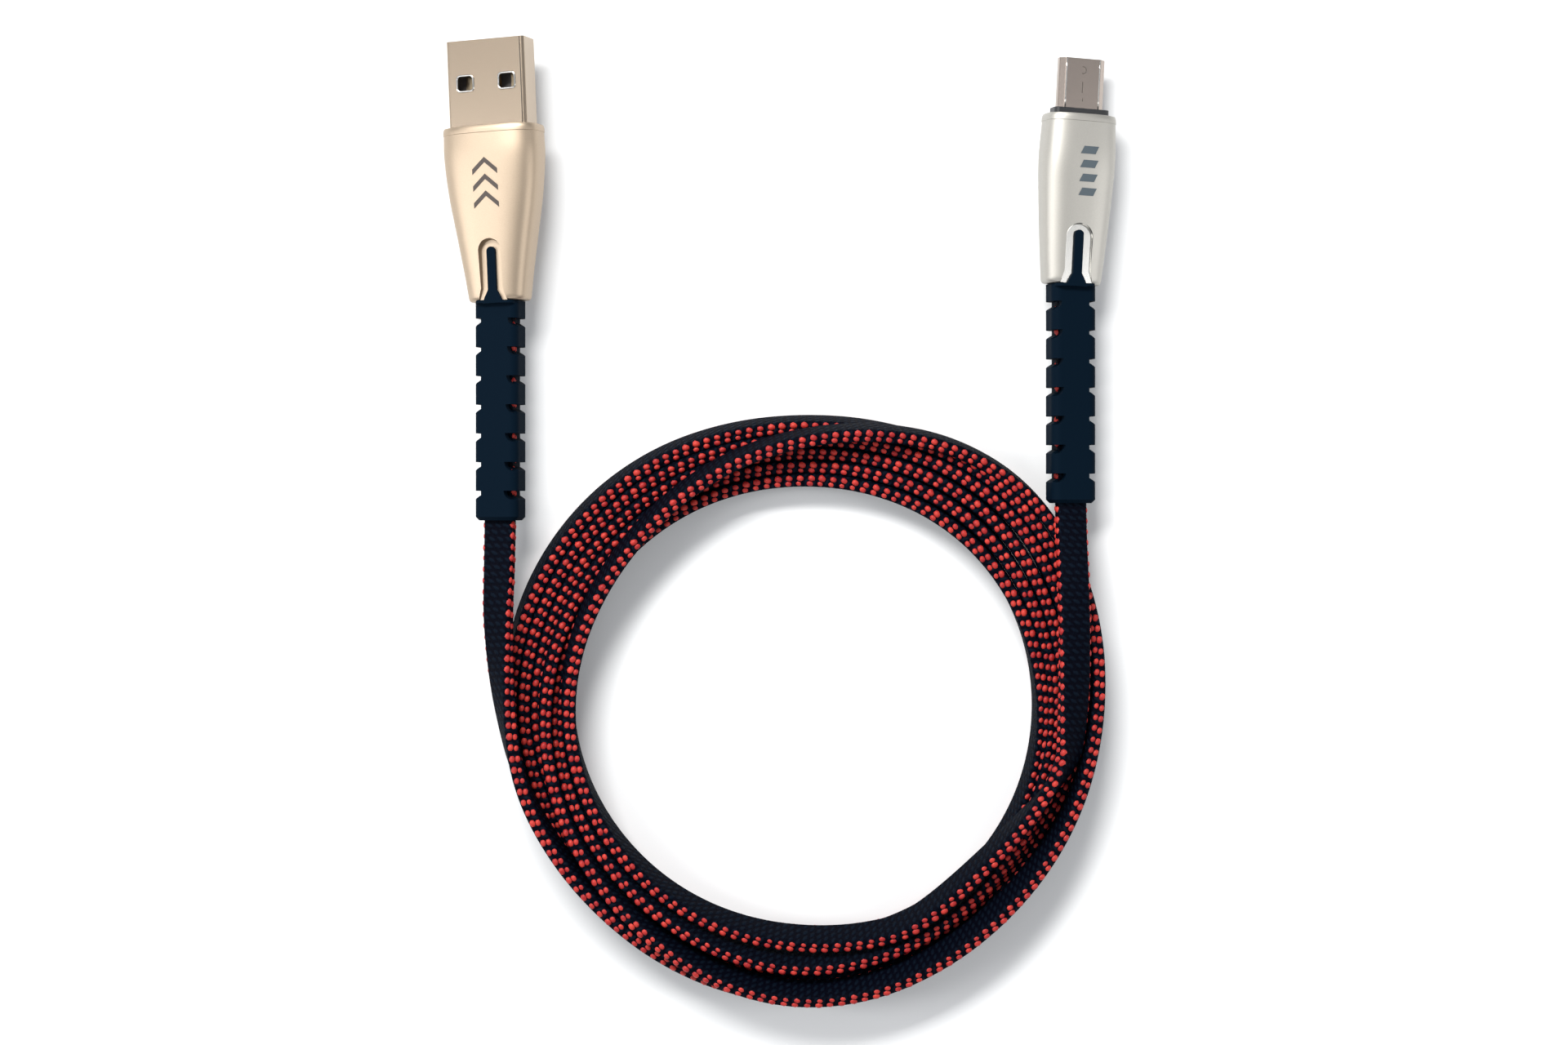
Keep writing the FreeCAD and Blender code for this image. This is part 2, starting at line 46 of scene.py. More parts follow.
# ---- camera ------------------------------------------------------------------------------------
CAMERA_HEIGHT = 0.45
CAMERA_CENTRE = (0.00047, -0.0350)
WIDTH_SEEN = 0.2259             # width of the view at the cable's height
CABLE_HEIGHT_SEEN = 0.006
SENSOR_WIDTH = 36.0

# ---- light: (name, place, size, power, colour), in metres and watts ------------------------------
LIGHT_TARGET = (0, -0.035, 0)
LIGHTS = (
    ("key", (-0.16, 0.34, 0.50), (0.36, 0.14), 5.2, (1.0, 0.99, 0.97)),
    ("left fill", (-0.50, -0.05, 0.34), (0.16, 0.5), 1.6, (1, 1, 1)),
    ("right fill", (0.50, -0.05, 0.34), (0.16, 0.5), 1.0, (1, 1, 1)),
    ("near fill", (0.0, -0.55, 0.40), (0.5, 0.2), 0.7, (1, 1, 1)),
)
ROOM_COLOUR = (0.94, 0.96, 1.0, 1)
ROOM_STRENGTH = 0.36
FLOOR_REACH = 1.2

# ---- cable, millimetres ------------------------------------------------------------------------
BAND_WIDTH = 4.35               # woven band, between the two rows of stitches
BAND_THICKNESS = 1.92
BAND_CORNER = 0.42
STITCH_PITCH = 1.6
STITCH_SIDE = 0.39              # how far each of a pair of stitches stands off the band's middle
PAIR_START = 0.30               # share of the pitch at which each stitch of a pair lies
PAIR_END = 0.45
STITCH_SINK = 0.26              # how far inside the band's edge a stitch's middle lies
LARGE_STITCH = (1.12, 1.06, 0.98)   # along the edge, across the band, through the band
SMALL_STITCH = (1.00, 0.93, 0.88)
STITCH_SLANT = math.radians(14)
STITCH_DRIFT = 0.03             # each stitch's random shift, as a share of the pitch
STITCH_SWELL = (0.92, 1.08)     # each stitch's random scale
SLANT_DRIFT = 0.12              # each stitch's random turn, in radians
STITCH_RINGS = 5
STITCH_SIDES = 8
STITCH_FULLNESS = 0.8           # 1 would be a sphere; less is squarer
SECTION_SPACING = 0.62          # distance between the band's cross-sections

# ---- plugs, millimetres ------------------------------------------------------------------------
USB_A_JOIN = (-40.4, -3.1, 5.59)
USB_A_LEAN = math.radians(2.3)
USB_A_ROLL = math.radians(-17)
MICRO_JOIN = (41.87, -0.6, 4.64)
MICRO_LEAN = math.radians(-2.9)
MICRO_ROLL = math.radians(13)

# Sections of the housings: (distance from the join, width, thickness).
USB_A_SECTIONS = (
    (0.9, 8.9, 6.3),
    (4.0, 9.8, 6.7),
    (9.2, 11.5, 7.3),
    (15.5, 13.6, 7.9),
    (21.0, 14.6, 8.3),
    (24.1, 14.5, 8.2),
)
MICRO_SECTIONS = (
    (0.9, 8.6, 6.0),
    (6.1, 9.5, 6.4),
    (13.3, 10.5, 6.9),
    (18.1, 10.9, 7.2),
    (23.8, 10.4, 6.9),
)
USB_A_LENGTH = 25.1
MICRO_LENGTH = 24.4
CROWN_POWER = 3.1               # 2 would be an ellipse; more is squarer
CASE_POINTS = 72                # points round a housing's section
BODY_RINGS = 30                 # sections between a housing's foot and its lip
CASE_BEVEL = 0.14
# The rounded foot: (distance from the join, what is added to the section's width and thickness).
FOOT_PROFILE = ((0.0, -0.75), (0.1, -0.42), (0.3, -0.18), (0.6, -0.04), (0.9, 0.0))
LIP_HEIGHT = 1.1
LIP_PROUD = 0.14
# The lip round the mouth: (distance above its lower edge, what is added to LIP_PROUD).
LIP_PROFILE = ((0.05, 0.0), (0.5, 0.0), (0.8, -0.1), (1.04, -0.32), (1.1, -0.7))

USB_A_ARCH = (3.6, 8.9)         # width and height of the arch cut in each broad face
MICRO_ARCH = (4.2, 8.7)
USB_A_ARCH_SLOPE = 0.55         # how far the arch's sides have spread at ARCH_TOP
MICRO_ARCH_SLOPE = 0.9
ARCH_FLOOR = 2.6                # the arch's floor, from the axis
ARCH_UPRIGHT = 0.15             # upright part of the arch's sides, above its floor
ARCH_TOP = 5.0                  # clear of the housing's surface
ARCH_INSET = 0.5                # how much narrower the arch is at its floor
ARCH_STEPS = 24
# The arch's flared feet: (how far outside the arch's side, distance from the join).
ARCH_FEET = ((0.9, -1.0), (0.45, 0.4), (0.0, 1.8))
# Stepped hollows inside the housings: (from, to, width, thickness).
USB_A_HOLLOW = (
    (-1.0, 8.0, 6.2, 3.6),
    (7.9, 14.5, 8.6, 4.8),
    (14.4, 24.1, 12.1, 5.4),
    (24.0, 26.0, 12.04, 4.54),
)
MICRO_HOLLOW = (
    (-1.0, 8.0, 6.2, 3.6),
    (7.9, 23.4, 8.4, 4.2),
)
HOLLOW_CORNER = 0.45

# Locking windows and folds of the shells.
WINDOW_SIZE = (2.5, 2.25)
WINDOW_CORNER = 0.5
WINDOW_SHIFT = 3.2
WINDOW_ALONG = 31.4             # distance of the windows from the join
WINDOW_HEIGHT = 2.25            # the shell's broad faces, from the axis
WINDOW_RIM = 0.15
USB_A_SEAM = (5.4, 2.225)       # place of the dark line, the seam with painted shade at the corner, across and above the axis
USB_A_SEAM_ALONG = (25.2, 29.3, 33.4, 37.5)
USB_A_SEAM_RADIUS = 0.08
FOLD_PLACE = (2.48, 0.83)       # place of the micro-B shell's upper folds, across and above the axis
FOLD_RADIUS = 0.13
FOLD_FROM = 25.4                # the folds' ends, from the join
FOLD_TO = 32.45
FOLD_STEPS = 6
MICRO_SEAM_HEIGHT = 0.925
MICRO_SEAM_RADIUS = 0.045
MICRO_SEAM_LINES = (            # (across, distance from the join) of each straight stretch's ends
    ("lower", ((0.1, 26.4), (0.1, 26.9))),
    ("middle", ((0, 27.6), (0, 29.2))),
)
MICRO_HOOK_ALONG = 30.9         # the curled end of the seam
MICRO_HOOK_RADII = (0.45, 0.5)
MICRO_HOOK_STEPS = 8

# Plain marks on the housings' upper faces.
MARK_LIFT = 0.07
MARK_SINK = 0.15
CHEVRON_ROWS = (13.2, 15.6, 18.0)
CHEVRON_REACH = 1.9
CHEVRON_RISE = 1.7
CHEVRON_STROKE = 0.75
BAR_ROWS = (12.6, 14.6, 16.6, 18.6)
BAR_START = -0.6
BAR_WIDTH = 2.2
BAR_HEIGHT = 1.1
BAR_SLANT = 0.5

# ---- route of the cable, millimetres -----------------------------------------------------------
USB_A_LEAD = (
    (-40.40, -4.5, 5.59),
    (-40.41, -12.0, 5.59),
    (-40.42, -20.0, 5.59),
    (-40.42, -28.0, 5.58),
    (-40.43, -35.5, 5.62),
    (-40.55, -42.5, 6.20),
    (-40.70, -49.5, 6.80),
)
MICRO_LEAD = (
    (41.00, -72.0, 7.50),
    (42.00, -62.5, 7.75),
    (42.20, -53.0, 7.95),
    (42.05, -44.5, 7.70),
    (41.88, -37.5, 5.75),
    (41.87, -32.5, 4.80),
    (41.87, -25.0, 4.64),
    (41.87, -17.0, 4.64),
    (41.87, -9.0, 4.64),
    (41.87, -2.0, 4.64),
)
COIL_CENTRE = (3.2, -61.8)
COIL_REACH = 44                 # from the coil's centre to its top or bottom
ROUTE_RESOLUTION = 24           # steps between the route's points
START_ANGLE = 180.0
STATION_STEP = 45.0
POINTS_PER_STATION = 3
# Each turn's radius at left, lower left, bottom, lower right, right, upper right, top, upper left.
# The rows of stitches seen from above come first: in places the turns are closer than the band is
# thick, so they pass through each other there.
TURN_RADII = (
    (43.0, 40.6, 41.4, 40.6, 41.0, 43.5, 41.3, 42.6),
    (42.8, 40.4, 39.2, 39.1, 39.4, 41.5, 39.4, 40.6),
    (40.9, 38.5, 37.2, 37.7, 37.8, 39.2, 37.5, 38.6),
    (39.0, 36.6, 35.0, 35.2, 34.8, 34.6, 33.7, 34.7),
    (36.1, 35.5, 36.7, 36.5, 36.3, 36.9, 35.6, 36.6),
    (37.6, 38.4, 41.4, 40.8, 42.5, 45.4, 39.2, 34.6),
    (34.1, 33.2, 33.2, 35.9),
)
# Height of the band's middle at the same stations.
TURN_HEIGHTS = (
    (6.9, 5.8, 2.7, 2.6, 2.6, 2.6, 2.7, 2.6),
    (2.5, 2.5, 2.6, 2.6, 2.7, 2.6, 2.6, 2.5),
    (2.6, 2.5, 2.5, 2.6, 2.6, 2.7, 2.5, 2.6),
    (2.6, 2.5, 2.6, 2.5, 2.7, 2.6, 2.6, 2.7),
    (2.7, 6.3, 6.8, 4.4, 2.6, 2.7, 2.6, 2.6),
    (4.4, 6.6, 6.8, 6.7, 4.7, 2.7, 7.4, 6.9),
    (6.0, 6.2, 6.8, 7.5),
)
# The band stands on its edge in the coil, and its upper edge tips towards -Y.
LEAN_AT_TOP = 18.0              # degrees, at the top of the coil
LEAN_AT_BOTTOM = 33.0
LEAN_ASIDE = 0.57               # how much the tip at the top also goes towards +X
# Each lead turns from flat onto its edge: (length from its end where it starts, length it takes).
USB_A_TWIST = (26.0, 50.0)
MICRO_TWIST = (42.0, 52.0)


# ---- meshes ------------------------------------------------------------------------------------
def mesh_piece(name, points, faces, material, smooth=True):
    """A mesh object from points in metres."""
    mesh = bpy.data.meshes.new(name)
    mesh.from_pydata([tuple(p) for p in points], [], faces)
    mesh.materials.append(material)
    mesh.polygons.foreach_set("use_smooth", [smooth] * len(mesh.polygons))
    mesh.update()
    piece = bpy.data.objects.new(name, mesh)
    bpy.context.scene.collection.objects.link(piece)
    return piece


def rounded_rectangle(width, thickness, radius, corner_points=4):
    """Outline of a rounded bar's section, anticlockwise, as (across, through) pairs."""
    outline = []
    for quarter in range(4):
        across = (width / 2 - radius) * (1 if quarter in (0, 3) else -1)
        through = (thickness / 2 - radius) * (1 if quarter in (0, 1) else -1)
        for step in range(corner_points):
            angle = math.pi / 2 * (quarter + step / (corner_points - 1))
            outline.append((across + radius * math.cos(angle), through + radius * math.sin(angle)))
    return outline


def plug_matrix(join, lean, roll):
    """Placement of a plug whose axis is Y and whose broad faces look along Z."""
    move = Matrix.Translation(Vector(join) * MM)
    return move @ Matrix.Rotation(lean, 4, "Z") @ Matrix.Rotation(roll, 4, "Y")


def add_bevel(piece, width, segments, angle):
    """Rounds the edges that are sharper than the angle, in degrees."""
    bevel = piece.modifiers.new("bevel", "BEVEL")
    bevel.width = width
    bevel.segments = segments
    bevel.limit_method = "ANGLE"
    bevel.angle_limit = math.radians(angle)
    bevel.harden_normals = True


# ---- materials ---------------------------------------------------------------------------------
class Shader:
    """A small builder for one procedural material."""

    def __init__(self, name, colour, metallic, roughness):
        self.material = bpy.data.materials.new(name)
        self.material.use_nodes = True
        self.tree = self.material.node_tree
        self.surface = self.tree.nodes["Principled BSDF"]
        self.surface.inputs["Base Color"].default_value = (*colour, 1)
        self.surface.inputs["Metallic"].default_value = metallic
        self.surface.inputs["Roughness"].default_value = roughness

    def node(self, kind, **values):
        made = self.tree.nodes.new(kind)
        for key, value in values.items():
            if key in made.inputs:
                made.inputs[key].default_value = value
            else:
                setattr(made, key, value)
        return made

    def link(self, output, target):
        self.tree.links.new(output, target)

    def object_space(self, scale):
        """Object coordinates, in metres, times a scale."""
        place = self.node("ShaderNodeTexCoord")
        mapping = self.node("ShaderNodeMapping", Scale=(scale, scale, scale))
        self.link(place.outputs["Object"], mapping.inputs["Vector"])
        return mapping.outputs["Vector"]

    def noise(self, vector, scale, detail=3.0):
        noise = self.node("ShaderNodeTexNoise", Scale=scale, Detail=detail)
        self.link(vector, noise.inputs["Vector"])
        return noise.outputs["Fac"]

    def ramp(self, factor, stops):
        """A colour ramp with stops of (position, colour)."""
        ramp = self.node("ShaderNodeValToRGB")
        elements = ramp.color_ramp.elements
        while len(elements) < len(stops):
            elements.new(0.5)
        for element, (position, colour) in zip(elements, stops):
            element.position = position
            element.color = (*colour, 1)
        self.link(factor, ramp.inputs["Fac"])
        return ramp.outputs["Color"]

    def bump(self, height, strength, distance):
        bump = self.node("ShaderNodeBump", Strength=strength, Distance=distance)
        self.link(height, bump.inputs["Height"])
        self.link(bump.outputs["Normal"], self.surface.inputs["Normal"])

    def wave(self, vector, scale, direction, distortion):
        wave = self.node(
            "ShaderNodeTexWave",
            bands_direction=direction,
            Scale=scale,
            Distortion=distortion,
        )
        self.link(vector, wave.inputs["Vector"])
        return wave.outputs["Fac"]


def satin_metal(name, colour, roughness):
    """Blasted metal: fine noise in its tint and a faint relief."""
    shader = Shader(name, colour, 1.0, roughness)
    speck = shader.noise(shader.object_space(2200), 4.0)
    low = tuple(0.95 * part for part in colour)
    high = tuple(min(1.0, 1.04 * part) for part in colour)
    tint = shader.ramp(speck, ((0.3, low), (0.7, high)))
    shader.link(tint, shader.surface.inputs["Base Color"])
    shader.bump(speck, 0.16, 0.00002)
    return shader.material


def polished_metal(name, colour, roughness):
    """Smooth metal with a barely uneven surface."""
    shader = Shader(name, colour, 1.0, roughness)
    smear = shader.noise(shader.object_space(60), 5.0)
    shader.bump(smear, 0.03, 0.0001)
    return shader.material


def moulded_plastic(name, colour, roughness, relief=0.12, shine=0.5):
    """Plastic, rubber or print with a fine grain."""
    shader = Shader(name, colour, 0.0, roughness)
    shader.surface.inputs["Specular IOR Level"].default_value = shine
    grain = shader.noise(shader.object_space(700), 5.0)
    shader.bump(grain, relief, 0.00006)
    return shader.material


def woven_band(name):
    """Dark knit: slanting ribs crossed by rows, with uneven threads; its colour follows the relief, with
    painted highlight on the raised parts and painted shade in the hollows; UVs are in millimetres.
    """
    shader = Shader(name, (0.004, 0.009, 0.014), 0.0, 0.7)
    shader.surface.inputs["Specular IOR Level"].default_value = 0.04
    place = shader.node("ShaderNodeTexCoord")
    rib_space = shader.node("ShaderNodeMapping", Scale=(1, 1.15, 1))
    shader.link(place.outputs["UV"], rib_space.inputs["Vector"])
    ribs = shader.wave(rib_space.outputs["Vector"], 0.42, "DIAGONAL", 0.6)
    rows = shader.wave(rib_space.outputs["Vector"], 0.31, "X", 0.4)
    woven = shader.node("ShaderNodeMath", operation="MULTIPLY")
    shader.link(ribs, woven.inputs[0])
    shader.link(rows, woven.inputs[1])
    threads = shader.noise(rib_space.outputs["Vector"], 2.6, 4.0)
    relief = shader.node("ShaderNodeMath", operation="ADD")
    shader.link(woven.outputs[0], relief.inputs[0])
    shader.link(threads, relief.inputs[1])
    # Painted highlight and shade: the higher the weave's relief, the lighter and more teal its colour.
    tint = shader.ramp(
        relief.outputs[0],
        (
            (0.35, (0.0002, 0.0003, 0.0024)),
            (0.75, (0.0006, 0.0014, 0.0052)),
            (1.0, (0.0020, 0.0050, 0.0110)),
        ),
    )
    shader.link(tint, shader.surface.inputs["Base Color"])
    shader.bump(relief.outputs[0], 0.7, 0.00018)
    return shader.material


def stitch_thread(name):
    """Red thread with fine strands and an uneven tint."""
    shader = Shader(name, (0.50, 0.030, 0.022), 0.0, 0.5)
    shader.surface.inputs["Specular IOR Level"].default_value = 0.3
    place = shader.node("ShaderNodeTexCoord")
    strands = shader.wave(place.outputs["UV"], 1.9, "X", 1.2)
    uneven = shader.noise(shader.object_space(300), 3.0)
    tint = shader.ramp(uneven, ((0.35, (0.30, 0.010, 0.012)), (0.68, (0.50, 0.036, 0.024))))
    shader.link(tint, shader.surface.inputs["Base Color"])
    shader.bump(strands, 0.55, 0.00008)
    return shader.material


def floor_finish(name):
    """Plain pale ground."""
    return Shader(name, (0.80, 0.81, 0.82), 0.0, 0.75).material


CHAMPAGNE = satin_metal("satin champagne metal", (0.45, 0.36, 0.27), 0.46)
SILVER = satin_metal("satin silver metal", (0.47, 0.455, 0.42), 0.5)
# Brighter, smoother metal than the shells and cases: a painted highlight on the window rims, the micro-B
# shell's folds and the micro-B arch's cut walls.
PAINTED_HIGHLIGHT_METAL = polished_metal("painted highlight metal", (0.66, 0.65, 0.62), 0.2)
# A dark line: the shells' seams, and on the USB-A shell also painted shade at its corner.
DARK_SEAM_AND_SHADE = moulded_plastic("dark seam and painted shade", (0.05, 0.04, 0.03), 0.5)
NICKEL = polished_metal("warm nickel", (0.42, 0.34, 0.26), 0.26)
PINK_STEEL = polished_metal("pinkish plated steel", (0.42, 0.36, 0.32), 0.26)
SPRING_STEEL = polished_metal("spring steel", (0.62, 0.60, 0.58), 0.2)
GOLD = polished_metal("gold contact", (0.42, 0.33, 0.22), 0.3)
BLACK_PLASTIC = moulded_plastic("black insulator", (0.012, 0.013, 0.015), 0.4)
# The USB-A insulator is painted dark grey so that it reads as the shade inside the shell's windows.
GREY_PLASTIC = moulded_plastic("grey insulator", (0.10, 0.09, 0.085), 0.45)
MOULD = moulded_plastic("inner mould", (0.06, 0.06, 0.065), 0.5)
WIRE = moulded_plastic("wire insulation", (0.30, 0.04, 0.03), 0.4)
RUBBER = moulded_plastic("relief rubber", (0.0010, 0.0056, 0.0125), 0.66, 0.22, 0.03)
MARK_GREY = moulded_plastic("grey print", (0.055, 0.075, 0.09), 0.5)
MARK_BROWN = moulded_plastic("dark print", (0.045, 0.032, 0.026), 0.5)
BAND = woven_band("woven band")
THREAD = stitch_thread("red stitch thread")

NODE_FINISH = {
    "usb_a_shell": NICKEL,
    "usb_a_insulator": GREY_PLASTIC,
    "usb_a_contacts": GOLD,
    "usb_a_inner_mould": MOULD,
    "usb_a_wires": WIRE,
    "usb_a_crimp": SPRING_STEEL,
    "usb_a_housing": CHAMPAGNE,
    "usb_a_strain_relief": RUBBER,
    "micro_shell": PINK_STEEL,
    "micro_insulator": BLACK_PLASTIC,
    "micro_spring_contacts": GOLD,
    "micro_latch_left": SPRING_STEEL,
    "micro_latch_right": SPRING_STEEL,
    "micro_base_collar": BLACK_PLASTIC,
    "micro_inner_mould": MOULD,
    "micro_wires": WIRE,
    "micro_crimp": SPRING_STEEL,
    "micro_housing": SILVER,
    "micro_strain_relief": RUBBER,
    "lead_usb_a": BAND,
    "lead_micro": BAND,
    "cord_coil": BAND,
}


def paint_nodes():
    """Gives every CAD node its finish, also those that a detailed piece replaces."""
    for name, material in NODE_FINISH.items():
        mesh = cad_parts[name].data
        mesh.materials.clear()
        mesh.materials.append(material)


# ---- camera and light --------------------------------------------------------------------------
def make_camera():
    """A camera that looks straight down; the view is WIDTH_SEEN wide at the cable's height."""
    camera = bpy.data.objects.new("camera", bpy.data.cameras.new("camera"))
    bpy.context.scene.collection.objects.link(camera)
    camera.location = (*CAMERA_CENTRE, CAMERA_HEIGHT)
    camera.data.sensor_width = SENSOR_WIDTH
    camera.data.lens = SENSOR_WIDTH * (CAMERA_HEIGHT - CABLE_HEIGHT_SEEN) / WIDTH_SEEN
    bpy.context.scene.camera = camera


def area_light(name, place, size, power, colour):
    """A rectangular light that faces the middle of the view."""
    data = bpy.data.lights.new(name, "AREA")
    data.shape = "RECTANGLE"
    data.size, data.size_y = size
    data.energy = power
    data.color = colour
    light = bpy.data.objects.new(name, data)
    light.location = place
    aim = Vector(LIGHT_TARGET) - Vector(place)
    light.rotation_mode = "QUATERNION"
    light.rotation_quaternion = aim.to_track_quat("-Z", "Y")
    bpy.context.scene.collection.objects.link(light)


def make_lights():
    for light in LIGHTS:
        area_light(*light)
    world = bpy.data.worlds.new("soft room")
    world.use_nodes = True
    background = world.node_tree.nodes["Background"]
    background.inputs["Color"].default_value = ROOM_COLOUR
    background.inputs["Strength"].default_value = ROOM_STRENGTH
    bpy.context.scene.world = world
    bpy.context.scene.view_settings.view_transform = "Standard"


def make_floor():
    reach = FLOOR_REACH
    corners = [(-reach, -reach, 0), (reach, -reach, 0), (reach, reach, 0), (-reach, reach, 0)]
    floor = mesh_piece("floor", corners, [(0, 1, 2, 3)], floor_finish("pale floor"), False)


# ---- cable -------------------------------------------------------------------------------------
def eased(share):
    """A share from 0 to 1 that starts and ends gently."""
    return (1 - math.cos(math.pi * share)) / 2


def through_stations(values, index, share):
    """A smooth curve through the stations' values."""
    last = len(values) - 1
    before, start, end, after = (values[max(0, min(last, index + k))] for k in (-1, 0, 1, 2))
    bend = 2 * before - 5 * start + 4 * end - after
    twist = 3 * start - before - 3 * end + after
    return start + 0.5 * share * (end - before + share * (bend + share * twist))


def coil_points():
    """Points of all the turns, from the stations' radii and heights."""
    radii = [value for turn in TURN_RADII for value in turn]
    heights = [value for turn in TURN_HEIGHTS for value in turn]
    points = []
    for index in range(len(radii) - 1):
        for step in range(POINTS_PER_STATION):
            share = step / POINTS_PER_STATION
            angle = math.radians(START_ANGLE + STATION_STEP * (index + share))
            radius = through_stations(radii, index, share)
            height = heights[index] + (heights[index + 1] - heights[index]) * eased(share)
            x = COIL_CENTRE[0] + radius * math.cos(angle)
            y = COIL_CENTRE[1] + radius * math.sin(angle)
            points.append((x, y, height))
    return points


def route_points():
    """The whole route, from inside the USB-A housing to inside the micro-B housing."""
    return list(USB_A_LEAD) + coil_points() + list(MICRO_LEAD)


def smooth_route():
    """The route as a NURBS spline, read back as closely spaced points in metres."""
    curve = bpy.data.curves.new("cable route", "CURVE")
    curve.dimensions = "3D"
    points = route_points()
    spline = curve.splines.new("NURBS")
    spline.points.add(len(points) - 1)
    for target, point in zip(spline.points, points):
        target.co = (*(Vector(point) * MM), 1)
    spline.order_u = 3
    spline.use_endpoint_u = True
    spline.resolution_u = ROUTE_RESOLUTION
    holder = bpy.data.objects.new("cable route", curve)
    bpy.context.scene.collection.objects.link(holder)
    line = bpy.data.meshes.new_from_object(holder)
    followed = [vertex.co.copy() for vertex in line.vertices]
    bpy.data.objects.remove(holder)
    bpy.data.curves.remove(curve)
    bpy.data.meshes.remove(line)
    return followed


class Route:
    """The cable's middle line, with its length, direction and band frame at any distance."""

    def __init__(self, line):
        self.line = line
        self.distance = [0.0]
        for before, after in zip(line, line[1:]):
            self.distance.append(self.distance[-1] + (after - before).length)
        self.length = self.distance[-1]
        self.near = 0

    def at(self, distance):
        """Place and direction at a distance; distances are asked for in rising order."""
        if distance < self.distance[self.near]:
            self.near = 0
        while self.near < len(self.line) - 2 and self.distance[self.near + 1] < distance:
            self.near += 1
        start = self.distance[self.near]
        span = self.distance[self.near + 1] - start
        share = min(1.0, max(0.0, (distance - start) / span))
        place = self.line[self.near].lerp(self.line[self.near + 1], share)
        before = self.line[max(0, self.near - 1)]
        after = self.line[min(len(self.line) - 1, self.near + 2)]
        return place, (after - before).normalized()

    def band_frame(self, distance):
        """Place, direction along, direction across the band and direction through it."""
        place, along = self.at(distance)
        low = COIL_CENTRE[1] - COIL_REACH
        share = min(1.0, max(0.0, (place.y / MM - low) / (2 * COIL_REACH)))
        lean = math.radians(LEAN_AT_BOTTOM + (LEAN_AT_TOP - LEAN_AT_BOTTOM) * share)
        across = Vector((LEAN_ASIDE * share, -1, 0)).normalized() * math.sin(lean)
        across.z = math.cos(lean)
        from_end = self.length - distance
        for passed, twist, side, roll in (
            (distance / MM, USB_A_TWIST, 1, -USB_A_ROLL),
            (from_end / MM, MICRO_TWIST, -1, MICRO_ROLL),
        ):
            share = eased(min(1.0, max(0.0, (passed - twist[0]) / twist[1])))
            flat = Vector((side * math.cos(roll), 0, math.sin(roll)))
            across = flat.lerp(across, share) if share < 1 else across
        across = (across - along * across.dot(along)).normalized()
        return place, along, across, along.cross(across)


def band_mesh(route):
    """The flat woven band, swept along the route; UVs are millimetres along and round it."""
    outline = rounded_rectangle(BAND_WIDTH, BAND_THICKNESS, BAND_CORNER)
    count = round(route.length / MM / SECTION_SPACING)
    points = []
    centres = []
    for index in range(count + 1):
        place, along, across, through = route.band_frame(route.length * index / count)
        centres.append(place)
        for over, out in outline:
            points.append(place + (across * over + through * out) * MM)
    ring = len(outline)
    faces = []
    for index in range(count):
        for side in range(ring):
            after = (side + 1) % ring
            base = index * ring
            faces.append((base + side, base + after, base + ring + after, base + ring + side))
    faces.append(tuple(reversed(range(ring))))
    faces.append(tuple(count * ring + side for side in range(ring)))
    band = mesh_piece("braided_band", points, faces, BAND)
    add_band_uvs(band, outline, ring, route.length / MM / count)
    return band, centres


def add_band_uvs(band, outline, ring, spacing):
    """UVs in millimetres, along the band and round its section."""
    around = [0.0]
    for before, after in zip(outline, outline[1:] + outline[:1]):
        around.append(around[-1] + math.dist(before, after))
    layer = band.data.uv_layers.new(name="weave")
    for polygon in band.data.polygons:
        index = polygon.vertices[0] // ring
        wraps = polygon.loop_total == 4 and ring - 1 in [v % ring for v in polygon.vertices]
        for loop in polygon.loop_indices:
            vertex = band.data.loops[loop].vertex_index
            side = vertex % ring
            if wraps and side == 0:
                side = ring
            along = (vertex // ring) * spacing
            layer.data[loop].uv = (along, around[side]) if polygon.loop_total == 4 else (index, side)


def stitch_shape(rings, sides):
    """Unit pod: points on a slightly squared sphere, and its faces."""
    points = [(-1.0, 0.0, 0.0)]
    for ring in range(1, rings):
        polar = math.pi * ring / rings
        for side in range(sides):
            turn = 2 * math.pi * side / sides
            radius = math.sin(polar) ** STITCH_FULLNESS
            points.append((-math.cos(polar), radius * math.cos(turn), radius * math.sin(turn)))
    points.append((1.0, 0.0, 0.0))
    last = len(points) - 1
    faces = [(0, 1 + (side + 1) % sides, 1 + side) for side in range(sides)]
    for ring in range(rings - 2):
        base = 1 + ring * sides
        for side in range(sides):
            after = (side + 1) % sides
            faces.append((base + side, base + after, base + sides + after, base + sides + side))
    base = last - sides
    faces += [(base + side, base + (side + 1) % sides, last) for side in range(sides)]
    return points, faces


def stitch_row(name, route, edge):
    """Paired stitches over one edge of the band; edge is 1 or -1."""
    unit_points, unit_faces = stitch_shape(STITCH_RINGS, STITCH_SIDES)
    count = int(route.length / MM / STITCH_PITCH)
    points = []
    faces = []
    for index in range(count):
        for share, size, side in ((PAIR_START, LARGE_STITCH, 1), (PAIR_END, SMALL_STITCH, -1)):
            drift = random.uniform(-STITCH_DRIFT, STITCH_DRIFT)
            distance = (index + share + drift) * STITCH_PITCH * MM
            place, along, across, through = route.band_frame(distance)
            swell = random.uniform(*STITCH_SWELL)
            reach = BAND_WIDTH / 2 - STITCH_SINK
            centre = place + (across * edge * reach + through * side * STITCH_SIDE) * MM
            slant = STITCH_SLANT + random.uniform(-SLANT_DRIFT, SLANT_DRIFT)
            axis = along * math.cos(slant) + through * math.sin(slant)
            third = axis.cross(across)
            start = len(points)
            for x, y, z in unit_points:
                offset = axis * x * size[0] + across * y * size[1] + third * z * size[2]
                points.append(centre + offset * (0.5 * MM * swell))
            faces += [tuple(start + corner for corner in face) for face in unit_faces]
    return mesh_piece(name, points, faces, THREAD)


